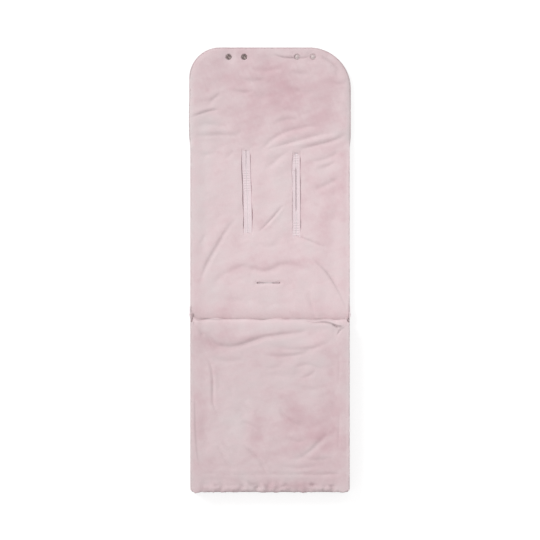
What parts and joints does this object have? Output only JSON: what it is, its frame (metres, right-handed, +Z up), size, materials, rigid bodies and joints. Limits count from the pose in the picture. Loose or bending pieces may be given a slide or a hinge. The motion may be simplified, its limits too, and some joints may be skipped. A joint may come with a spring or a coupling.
{
  "type": "stroller footmuff",
  "caption": "Plush-lined stroller footmuff lying flat: rounded back mat with bound harness and crotch slots, foot sack, and a side-zipped front cover folded down over the sack.",
  "frame": {"origin": "middle of the footprint, on the surface that the mat lies on", "axes": "+Y along the mat towards its head end, +X across it to the right as seen from above with the head end away, +Z up out of the plush"},
  "size_m": [0.364, 1, 0.0581],
  "materials": {
    "plush": "matte pale pink coral fleece",
    "wadding": "matte white wadding",
    "outer_fabric": "matte dusty pink plain weave",
    "binding": "soft sheen stitched pink tape",
    "zip_tape": "matte woven pink tape",
    "zip_teeth": "satin pink moulded teeth",
    "zip_metal": "satin pink coated metal",
    "press_stud": "satin nickel"
  },
  "bodies": {
    "back_mat": {"seat_lining": "plush", "seat_wadding": "wadding", "seat_outer_fabric": "outer_fabric", "harness_slot_left_binding": "binding", "harness_slot_left_facing": "binding", "harness_slot_right_binding": "binding", "harness_slot_right_facing": "binding", "crotch_slot_binding": "binding", "crotch_slot_facing": "binding", "mat_zip_tape_left": "zip_tape", "mat_zip_tape_right": "zip_tape", "mat_zip_teeth_left": "zip_teeth", "mat_zip_teeth_right": "zip_teeth", "mat_zip_bottom_stop_left": "zip_metal", "mat_zip_bottom_stop_right": "zip_metal", "mat_zip_top_stop_left": "zip_metal", "mat_zip_top_stop_right": "zip_metal"},
    "head_end": {"head_lining": "plush", "head_wadding": "wadding", "head_outer_fabric": "outer_fabric", "press_socket_left_outer": "press_stud", "press_socket_left_inner": "press_stud", "press_stud_right_inner": "press_stud", "press_stud_right_outer": "press_stud", "press_cap_left_outer": "press_stud", "press_cap_left_inner": "press_stud", "press_cap_right_inner": "press_stud", "press_cap_right_outer": "press_stud"},
    "foot_sack": {"foot_mat_lining": "plush", "foot_mat_wadding": "wadding", "foot_mat_outer_fabric": "outer_fabric", "sack_side_band": "outer_fabric", "sack_front_lining": "plush", "sack_front_wadding": "wadding", "sack_front_outer_fabric": "outer_fabric"},
    "front_cover": {"cover_lining": "plush", "cover_wadding": "wadding", "cover_outer_fabric": "outer_fabric", "cover_hem": "plush", "cover_zip_tape_left": "zip_tape", "cover_zip_tape_right": "zip_tape", "cover_zip_teeth_left": "zip_teeth", "cover_zip_teeth_right": "zip_teeth", "cover_zip_top_stop_left": "zip_metal", "cover_zip_top_stop_right": "zip_metal"},
    "left_zip_slider": {"zip_slider_left": "zip_metal"},
    "right_zip_slider": {"zip_slider_right": "zip_metal"},
    "left_zip_pull": {"zip_pull_left": "zip_metal"},
    "right_zip_pull": {"zip_pull_right": "zip_metal"}
  },
  "joints": [
    {"name": "hood_fold", "type": "hinge", "parent": "back_mat", "child": "head_end", "pos_m": [0, 0.3, 0.02], "axis": [1, 0, 0], "range_deg": [0, 90]},
    {"name": "knee_fold", "type": "hinge", "parent": "back_mat", "child": "foot_sack", "pos_m": [0, -0.114, 0], "axis": [1, 0, 0], "range_deg": [0, 80]},
    {"name": "cover_fold", "type": "hinge", "parent": "foot_sack", "child": "front_cover", "pos_m": [0, -0.114, 0.04115], "axis": [-1, 0, 0], "range_deg": [0, 179.9]},
    {"name": "zip_travel_left", "type": "slide", "parent": "back_mat", "child": "left_zip_slider", "axis": [0, 1, 0], "range_m": [0, 0.361]},
    {"name": "zip_travel_right", "type": "slide", "parent": "back_mat", "child": "right_zip_slider", "axis": [0, 1, 0], "range_m": [0, 0.361]},
    {"name": "pull_swing_left", "type": "hinge", "parent": "left_zip_slider", "child": "left_zip_pull", "pos_m": [-0.18045, -0.1024, 0.023], "axis": [0, 0, 1], "range_deg": [0, 150]},
    {"name": "pull_swing_right", "type": "hinge", "parent": "right_zip_slider", "child": "right_zip_pull", "pos_m": [0.18045, -0.1024, 0.023], "axis": [0, 0, -1], "range_deg": [0, 150]}
  ]
}
